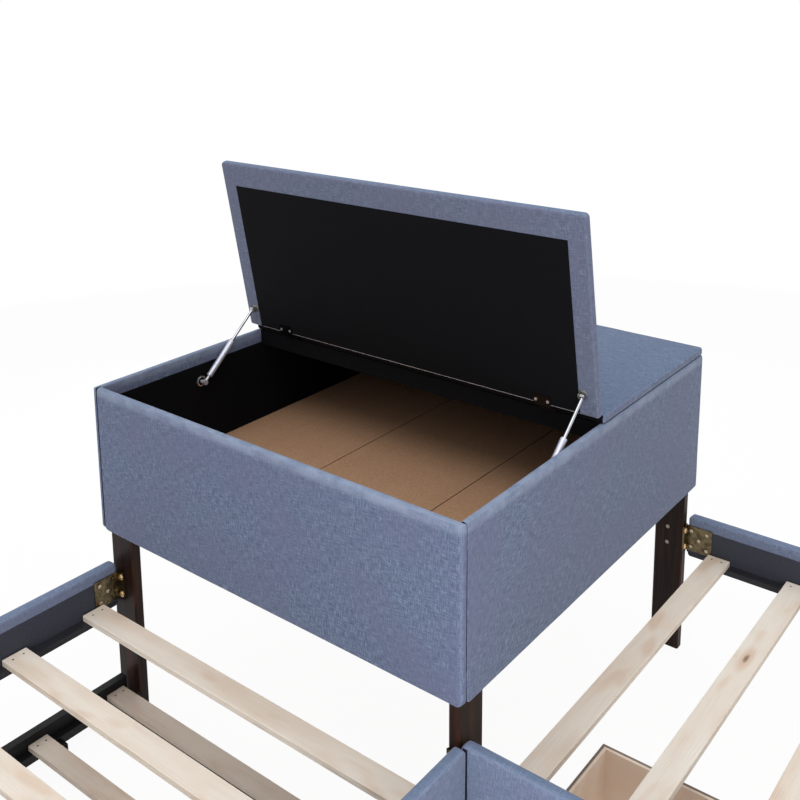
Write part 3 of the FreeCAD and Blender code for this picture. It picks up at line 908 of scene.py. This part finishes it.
def lid_turn():
    """The turn that shuts the lid, as a matrix in the frame."""
    hinge = next(joint for joint in frame["joints"] if joint["name"] == "lid_hinge")
    pivot = Vector(hinge["pos_m"])
    turn = Matrix.Rotation(math.radians(hinge["range_deg"][1]), 4, Vector(hinge["axis"]))
    return Matrix.Translation(pivot) @ turn @ Matrix.Translation(-pivot)


def shut_box(node):
    """Lowest and highest corners of one of the lid's nodes with the lid shut."""
    turn = lid_turn()
    return box_of([turn @ vert.co for vert in frame["nodes"][node].data.vertices])


def covered_board(node, radius, axis, side, corners=(), box=None, place=None, finish=None):
    """A padded board under linen, in the room of one node; corners are roundings of its outline."""
    cloth = scene_props("bed_upholstery")
    low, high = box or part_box(node)
    shape = rounded_board(low, high, radius, cloth.end_zone, cloth.mesh_step)
    for axes, corner_sides, corner_radius in corners:
        corner = [(high if corner_sides[k] == OUT else low)[axes[k]] for k in range(2)]
        round_corner(shape, axes, corner, corner_sides, corner_radius)
    swell(shape, low, high, axis, side, cloth.crown, cloth.ripple, cloth.ripple_length)
    if place:
        shape.transform(place)
    made = add_piece(node + "_cover", shape, finish or linen(), body_of(node))
    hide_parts(node)
    return made


def lining_sheet(name, low, high, finish, node, rests_on, place=None):
    """A thin lining, stretched over the inside of a board."""
    cloth = scene_props("bed_upholstery")
    spans = high - low
    axis = min(range(3), key=lambda k: spans[k])
    edge = spans[axis] * LINING_EDGE
    shape = rounded_board(low, high, edge, cloth.end_zone, cloth.mesh_step * LINING_STEP)
    for side in (OUT, IN):
        swell(shape, low, high, axis, side, 0, cloth.ripple * LINING_RIPPLE, cloth.ripple_length)
    if place:
        shape.transform(place)
    made = add_piece(name, shape, finish, body_of(node))
    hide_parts(node)


# Operators
class UpholsterTable(bpy.types.Operator):
    """Covers the four walls of the storage table."""

    bl_idname = "corner_bed.upholster_table"
    bl_label = "Upholster the table walls"

    def execute(self, context):
        cloth = context.scene.bed_upholstery
        top_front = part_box("table_top_fixed")[0][Y]
        walls = {
            "table_panel_front": (Y, IN, OUT),
            "table_panel_right": (X, OUT, OUT),
            "table_panel_back": (Y, OUT, IN),
            "table_panel_left": (X, IN, IN),
        }
        for node, (axis, side, covering_end) in walls.items():
            run = ACROSS[axis]
            corners = [
                ((axis, Z), (side, OUT), cloth.panel_edge),
                ((axis, Z), (-side, OUT), cloth.panel_lip),
                ((run, axis), (covering_end, side), cloth.panel_corner),
                ((run, Z), (OUT, IN), cloth.panel_corner),
                ((run, Z), (IN, IN), cloth.panel_corner),
            ]
            low, high = (Vector(corner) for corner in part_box(node))
            covered, covering = (low, high) if covering_end == OUT else (high, low)
            covered[run] += covering_end * cloth.seam_gap
            wall = covered_board(
                node, cloth.seam_radius, axis, side, corners, (low, high), finish=linen(high[Z])
            )
            end = covering[run]
            lapped = high[axis] - low[axis]

            def in_seam(face):
                """Faces at the covered end, behind the covering end and under the table top, which get
                painted shade.
                """
                at_end = looks(face, run, -covering_end, SEAM_END)
                behind = looks(face, axis, -side, SEAM_SIDE) and abs(face.center[run] - end) < lapped
                under_top = looks(face, Z, OUT, LEVEL) and face.center.y > top_front
                return at_end or behind or under_top

            refinish(wall, lining("seam_shade"), in_seam)
        return {"FINISHED"}


class UpholsterTop(bpy.types.Operator):
    """Covers the fixed half of the table top and the lid."""

    bl_idname = "corner_bed.upholster_top"
    bl_label = "Upholster the table top"

    def execute(self, context):
        cloth = context.scene.bed_upholstery
        rear = [((X, Y), (side, OUT), cloth.top_corner) for side in (OUT, IN)]
        front = [((X, Y), (side, IN), cloth.top_corner) for side in (OUT, IN)]
        fixed = covered_board("table_top_fixed", cloth.edge_radius, Z, OUT, rear)
        front_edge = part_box("table_top_fixed")[0][Y] + cloth.edge_radius / 2

        def along_front(face):
            return face.center.y < front_edge and abs(face.normal.x) < HALF_TURNED

        # Painted shade on the fixed top's underside
        refinish(fixed, lining("seam_shade"), lambda face: looks(face, Z, IN, UNDERSIDE))
        refinish(fixed, lining("lining_black"), along_front)
        shut = lid_turn()
        low, high = shut_box("lid")
        lid = covered_board("lid", cloth.edge_radius, Z, OUT, front, (low, high), shut.inverted())
        lining_low, lining_high = shut_box("lid_lining")
        hinged = high[Y] - cloth.edge_radius
        middle = (low[Z] + high[Z]) / 2

        def underneath(face):
            return (shut.to_3x3() @ face.normal).z < -TURNED

        def under_hinge(face):
            x, y, z = shut @ face.center
            return lining_low[X] < x < lining_high[X] and y > hinged and z < middle

        # Painted shade on the lid's underside
        refinish(lid, linen(underside_shade=cloth.lid_underside_shade), underneath)
        # Painted highlight along the lid's hinged edge
        refinish(lid, lining("lid_binding"), under_hinge)
        return {"FINISHED"}


class UpholsterRails(bpy.types.Operator):
    """Covers the bed rails."""

    bl_idname = "corner_bed.upholster_rails"
    bl_label = "Upholster the bed rails"

    def execute(self, context):
        cloth = context.scene.bed_upholstery
        rails = {
            "bed_a_rail_outer": (X, IN, [(Y, OUT)]),
            "bed_a_rail_inner": (X, OUT, [(Y, OUT)]),
            "bed_a_rail_foot": (Y, IN, [(X, OUT), (X, IN)]),
            "bed_b_rail_inner": (Y, IN, [(X, IN)]),
            "bed_b_rail_outer": (Y, OUT, [(X, IN)]),
            "bed_b_rail_foot": (X, OUT, [(Y, OUT), (Y, IN)]),
        }
        lip = min(high[Z] for _, high in solids("linings"))
        # The rails' linen gets a painted lift, as a lighter lit copy of the table's cloth
        finish = linen(lit_lift=cloth.rail_lit_lift)
        covers = {}
        for node, (axis, side, ends) in rails.items():
            corners = [((run, Z), (end, OUT), cloth.rail_corner) for run, end in ends]
            covers[node] = covered_board(node, cloth.rail_radius, axis, side, corners, finish=finish)

            def lined(face):
                return looks(face, axis, -side, TURNED) and face.center.z < lip

            refinish(covers[node], lining("lining_grey"), lined)
        inner_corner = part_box("bed_a_rail_inner")[1][X]

        def against_table(face):
            return looks(face, Y, OUT, SEAM_SIDE)

        def behind_corner(face):
            return looks(face, Y, IN, SEAM_END) and face.center.x < inner_corner

        # Painted shade in the groove where the two inner rails meet
        refinish(covers["bed_a_rail_inner"], lining("seam_shade"), against_table)
        refinish(covers["bed_b_rail_inner"], lining("seam_shade"), behind_corner)
        return {"FINISHED"}


class UpholsterFronts(bpy.types.Operator):
    """Covers the fronts of the trundle and the drawers."""

    bl_idname = "corner_bed.upholster_fronts"
    bl_label = "Upholster the fronts"

    def execute(self, context):
        cloth = context.scene.bed_upholstery
        fronts = {
            "trundle_front_panel": (X, OUT),
            "drawer_near_front": (Y, IN),
            "drawer_far_front": (Y, IN),
        }
        ends = [(end, level) for end in (OUT, IN) for level in (OUT, IN)]
        for node, (axis, side) in fronts.items():
            corners = [((ACROSS[axis], Z), sides, cloth.panel_corner) for sides in ends]
            covered_board(node, cloth.edge_radius, axis, side, corners)
        return {"FINISHED"}


class LineInsides(bpy.types.Operator):
    """Lines the storage bin, the lid and the inner faces of the rails."""

    bl_idname = "corner_bed.line_insides"
    bl_label = "Line the insides"

    def execute(self, context):
        thick = context.scene.bed_upholstery.lining_thickness
        black = lining("lining_black")
        grey = lining("lining_grey")
        *rails, inside = sorted(solids("linings"), key=lambda box: box[1][Z])
        for number, (axis, side) in enumerate(((Y, IN), (X, OUT), (Y, OUT), (X, IN)), start=1):
            low, high = (corner.copy() for corner in inside)
            if side == OUT:
                low[axis] = high[axis] - thick
            else:
                high[axis] = low[axis] + thick
            if axis == X:
                low[Y] += thick
                high[Y] -= thick
            lining_sheet(f"table_lining_{number}", low, high, black, "linings", "table_floor_boards")
        bed_a_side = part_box("bed_a_rail_inner")[1][X]
        for number, (low, high) in enumerate(rails, start=1):
            bed = "bed_b" if high[X] > bed_a_side else "bed_a"
            lining_sheet(f"rail_lining_{number}", low, high, grey, "linings", bed + "_cleats")
        low, high = shut_box("lid_lining")
        opened = lid_turn().inverted()
        lining_sheet("lid_lining_cloth", low, high, black, "lid_lining", "lid_cover", opened)
        return {"FINISHED"}


class FinishTimber(bpy.types.Operator):
    """Stains, paints and nails the boards."""

    bl_idname = "corner_bed.finish_timber"
    bl_label = "Finish the timber"

    def execute(self, context):
        timber = context.scene.bed_timber
        dress_slots({
            "espresso_wood": espresso(),
            "fibre_board": hardboard(),
            "black_wood": paint("black_paint"),
        })
        for node in ("bed_a_cleats", "bed_b_cleats"):
            dress(node, paint("cleat_paint"))
        dress("hinge_rail", lining("lining_black"))
        for node in DRAWER_BOXES:
            dress(node, drawer_wood())
        rows = {
            "bed_a_slats": (X, 0.0),
            "bed_b_slats": (Y, 0.0),
            # The trundle's slats are darkened with painted shade, since they stand under the bed's
            # slats
            "trundle_slats": (X, timber.trundle_painted_shade),
        }
        for node, (along, shade) in rows.items():
            across = ACROSS[along]
            slats = sorted(solids(node), key=lambda box: box[0][across])
            first = (slats[0][0][across] + slats[0][1][across]) / 2
            pitch = slats[1][0][across] - slats[0][0][across]
            dress(node, slat_wood(node + "_wood", along, first, pitch, shade))
            self.nail(node, slats, along, timber)
        return {"FINISHED"}

    def nail(self, node, slats, along, timber):
        """Two nails at each end of every slat."""
        across = ACROSS[along]
        shape = bmesh.new()
        for low, high in slats:
            for end in (low[along] + timber.nail_inset, high[along] - timber.nail_inset):
                for spread in (-NAIL_SPREAD, NAIL_SPREAD):
                    place = (low + high) / 2
                    place[along] = end
                    place[across] += spread * (high[across] - low[across])
                    place[Z] = high[Z]
                    self.add_head(shape, timber.nail_radius, place)
        add_piece(node + "_nails", shape, plain_metal("hinge_steel"), body_of(node))

    def add_head(self, shape, radius, place):
        """A nail's head: a ball that is pressed flat."""
        turns = [2 * math.pi * k / NAIL_SIDES for k in range(NAIL_SIDES)]
        rings = []
        for step in range(NAIL_RINGS + 1):
            fall = math.pi * step / NAIL_RINGS
            height = radius * NAIL_FLATNESS * math.cos(fall)
            if 0 < step < NAIL_RINGS:
                width = radius * math.sin(fall)
                points = [(width * math.cos(turn), width * math.sin(turn), height) for turn in turns]
                rings.append([shape.verts.new(place + Vector(point)) for point in points])
            else:
                pole = shape.verts.new(place + Vector((0, 0, height)))
                rings.append([pole] * NAIL_SIDES)
        for upper, lower in zip(rings, rings[1:]):
            for k in range(NAIL_SIDES):
                corners = (upper[k - 1], lower[k - 1], lower[k], upper[k])
                shape.faces.new(list(dict.fromkeys(corners)))


class SeatBolts(bpy.types.Operator):
    """Seats the domed bolts that hold the rail brackets on the legs."""

    bl_idname = "corner_bed.seat_bolts"
    bl_label = "Seat the bracket bolts"

    def execute(self, context):
        metal = context.scene.bed_hardware
        profile = self.profile(metal)
        heads = solids("bracket_screws")
        shape = bmesh.new()
        for low, high in solids("bracket_rail_plates"):
            run = X if high[X] - low[X] > high[Y] - low[Y] else Y
            middle = (low[run] + high[run]) / 2
            for head_low, head_high in heads:
                inside = all(low[k] < head_low[k] and head_high[k] < high[k] for k in range(3))
                if inside and head_high[run] - head_low[run] < metal.bolt_height:
                    seat = (head_low + head_high) / 2
                    away = OUT if seat[run] < middle else IN
                    seat[run] = (head_low if away == OUT else head_high)[run]
                    axis = Vector((0, 0, 0))
                    axis[run] = away
                    turn_on_lathe(shape, profile, seat, axis)
        body = body_of("bracket_rail_plates")
        add_piece("bracket_bolts", shape, plain_metal("zinc_bolts"), body)
        return {"FINISHED"}

    def profile(self, metal):
        """A bevelled washer, a dome on a straight side and a hollow socket, from the rim in."""
        rim, seat = metal.washer_radius, metal.washer_thickness
        radius, top = metal.bolt_radius, metal.bolt_height
        bevel_start, bevel_end = 0.8, 0.97
        straight = 0.25
        socket_taper, socket_height = 0.92, 0.6
        hollow_taper, hollow_height = 0.2, 0.55
        points = [(rim, 0), (rim, seat * bevel_start), (rim * bevel_end, seat), (radius, seat)]
        for degrees in DOME_TURNS:
            turn = math.radians(degrees)
            rise = straight + (1 - straight) * math.sin(turn)
            points.append((radius * math.cos(turn), seat + (top - seat) * rise))
        lip = points[-1][0]
        points.append((lip * socket_taper, top * socket_height))
        points.append((lip * hollow_taper, top * hollow_height))
        return points


class MountStruts(bpy.types.Operator):
    """Fits the round mounts of the gas struts under the lid."""

    bl_idname = "corner_bed.mount_struts"
    bl_label = "Mount the struts"

    def execute(self, context):
        metal = context.scene.bed_hardware
        node = "strut_lid_brackets"
        shut = lid_turn()
        shape = bmesh.new()
        for (low, high), inward in zip(solids(node, shut), (OUT, IN)):
            middle = (low + high) / 2
            foot = Vector((middle.x, middle.y, high.z))
            self.add_disc(shape, metal.mount_radius, metal.mount_thickness, foot, Vector((0, 0, -1)))
            inner = high.x if inward == OUT else low.x
            eye = Vector((inner - inward * metal.eye_inset, middle.y, low.z + metal.pin_drop))
            self.add_eye(shape, eye, high.z, metal)
            self.add_disc(shape, metal.pin_radius, metal.pin_length, eye, Vector((-inward, 0, 0)))
        bmesh.ops.recalc_face_normals(shape, faces=shape.faces)
        shape.transform(shut.inverted())
        mounts = add_piece(
            "strut_lid_mounts", shape, plain_metal("pressed_steel"), body_of(node)
        )
        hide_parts(node)
        return {"FINISHED"}

    def add_disc(self, shape, radius, thick, place, axis):
        """A disc with a bevel round its free face."""
        bevel = radius * DISC_BEVEL
        profile = [(radius, 0), (radius, thick - bevel), (radius - bevel, thick)]
        turn_on_lathe(shape, profile, place, axis)

    def add_eye(self, shape, eye, top, metal):
        """A tab that stands on the foot and is round at the pin."""
        radius = metal.eye_radius
        turns = [math.pi * (1 + k / EYE_STEPS) for k in range(EYE_STEPS + 1)]
        outline = [(eye.y + radius * math.cos(turn), eye.z + radius * math.sin(turn)) for turn in turns]
        outline += [(eye.y + radius, top), (eye.y - radius, top)]
        sides = [eye.x + side * metal.mount_thickness / 2 for side in (IN, OUT)]
        near, far = ([shape.verts.new((x, y, z)) for y, z in outline] for x in sides)
        shape.faces.new(near)
        shape.faces.new(reversed(far))
        for k in range(len(outline)):
            shape.faces.new((near[k - 1], far[k - 1], far[k], near[k]))


class FinishHardware(bpy.types.Operator):
    """Plates and polishes the metal parts and colours the wheels."""

    bl_idname = "corner_bed.finish_hardware"
    bl_label = "Finish the hardware"

    def execute(self, context):
        dress_slots({
            "hinge_steel": plain_metal("hinge_steel"),
            "bright_screw": plain_metal("nickel_screws"),
            "strut_chrome": plain_metal("chrome"),
            "strut_silver": plain_metal("satin_silver"),
            "yellow_zinc": yellow_zinc(),
            "castor_steel": plain_metal("bright_steel"),
            "wheel_plastic": nylon(),
        })
        dress("bracket_screws", plain_metal("zinc_screws"))
        dress("strut_wall_studs", stud_nickel())
        dress("leg_nuts", plain_metal("pressed_steel"))
        for node in ("hinge_fixed_screws", "trundle_castors"):
            dress(node, plain_metal("hinge_steel"))
        return {"FINISHED"}


class SetStage(bpy.types.Operator):
    """Lays the white floor, hangs the lights and places the camera."""

    bl_idname = "corner_bed.set_stage"
    bl_label = "Set the stage"

    def execute(self, context):
        studio = context.scene.bed_studio
        context.scene.view_settings.view_transform = "Standard"
        self.lay_floor(studio)
        self.light_sky(context.scene, studio)
        for name, (place, node, side) in LAMPS.items():
            self.hang_light(name, Vector(place), Vector(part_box(node)[1]), side, getattr(studio, name))
        self.place_camera(context.scene, studio)
        return {"FINISHED"}

    def lay_floor(self, studio):
        """A floor that looks white and keeps a faint shadow near the bed."""
        finish = Finish("white_floor")
        lit = finish.node("BsdfDiffuse", {"Color": opaque(FLOOR_GREY)})
        white = finish.node("Emission", {"Color": opaque(WHITE), "Strength": 1.0})
        x, y, _ = finish.place()
        reach = studio.shadow_reach**2
        away = (x * x + y * y).between(reach, reach * SHADOW_FADE)
        share_white = away.larger(studio.white)
        shown = finish.node("MixShader", {0: finish.seen() * share_white, 1: lit, 2: white})
        finish.node("OutputMaterial", {"Surface": shown})
        shape = bmesh.new()
        bmesh.ops.create_grid(shape, x_segments=1, y_segments=1, size=studio.floor_side / 2)
        add_mesh("floor", shape, finish.material)

    def light_sky(self, scene, studio):
        """White to the eye, and softer as light on the bed."""
        scene.world = bpy.data.worlds.new("white_sky")
        nodes = Nodes(scene.world)
        strength = studio.sky + nodes.seen() * (1 - studio.sky)
        light = nodes.node("Background", {"Color": opaque(WHITE), "Strength": strength})
        nodes.node("OutputWorld", {"Surface": light})

    def hang_light(self, name, place, target, side, energy):
        """A square lamp that points at its target."""
        lamp = bpy.data.lights.new(name, "AREA")
        lamp.shape = "SQUARE"
        lamp.size = side
        lamp.energy = energy
        made = add_object(name, lamp)
        made.location = place
        made.rotation_euler = (target - place).to_track_quat("-Z", "Y").to_euler()
        made.visible_camera = False

    def place_camera(self, scene, studio):
        """The camera at the studio's place, turn, lens and shift."""
        lens = bpy.data.cameras.new("camera")
        lens.lens = studio.lens
        lens.shift_x, lens.shift_y = studio.shift
        scene.camera = add_object("camera", lens)
        scene.camera.location = studio.eye
        scene.camera.rotation_euler = (math.radians(90) + studio.pitch, 0, studio.yaw)


OPERATORS = (
    UpholsterTable,
    UpholsterTop,
    UpholsterRails,
    UpholsterFronts,
    LineInsides,
    FinishTimber,
    SeatBolts,
    MountStruts,
    FinishHardware,
    SetStage,
)


class CornerBedPanel(bpy.types.Panel):
    """Lists the steps that dress the bed."""

    bl_idname = "VIEW3D_PT_corner_bed"
    bl_label = "Corner bed"
    bl_space_type = "VIEW_3D"
    bl_region_type = "UI"
    bl_category = "Corner bed"

    def draw(self, context):
        for operator in OPERATORS:
            self.layout.operator(operator.bl_idname)
        for name, group in PROPERTY_GROUPS.items():
            box = self.layout.box()
            for prop in group.__annotations__:
                box.prop(getattr(context.scene, name), prop)


def register():
    for name, group in PROPERTY_GROUPS.items():
        bpy.utils.register_class(group)
        setattr(bpy.types.Scene, name, PointerProperty(type=group))
    for operator in OPERATORS:
        bpy.utils.register_class(operator)
    bpy.utils.register_class(CornerBedPanel)


def unregister():
    bpy.utils.unregister_class(CornerBedPanel)
    for operator in reversed(OPERATORS):
        bpy.utils.unregister_class(operator)
    for name, group in PROPERTY_GROUPS.items():
        delattr(bpy.types.Scene, name)
        bpy.utils.unregister_class(group)


def main():
    register()
    bpy.ops.corner_bed.upholster_table()
    bpy.ops.corner_bed.upholster_top()
    bpy.ops.corner_bed.upholster_rails()
    bpy.ops.corner_bed.upholster_fronts()
    bpy.ops.corner_bed.line_insides()
    bpy.ops.corner_bed.finish_timber()
    bpy.ops.corner_bed.seat_bolts()
    bpy.ops.corner_bed.mount_struts()
    bpy.ops.corner_bed.finish_hardware()
    bpy.ops.corner_bed.set_stage()


if __name__ == "__main__":
    main()
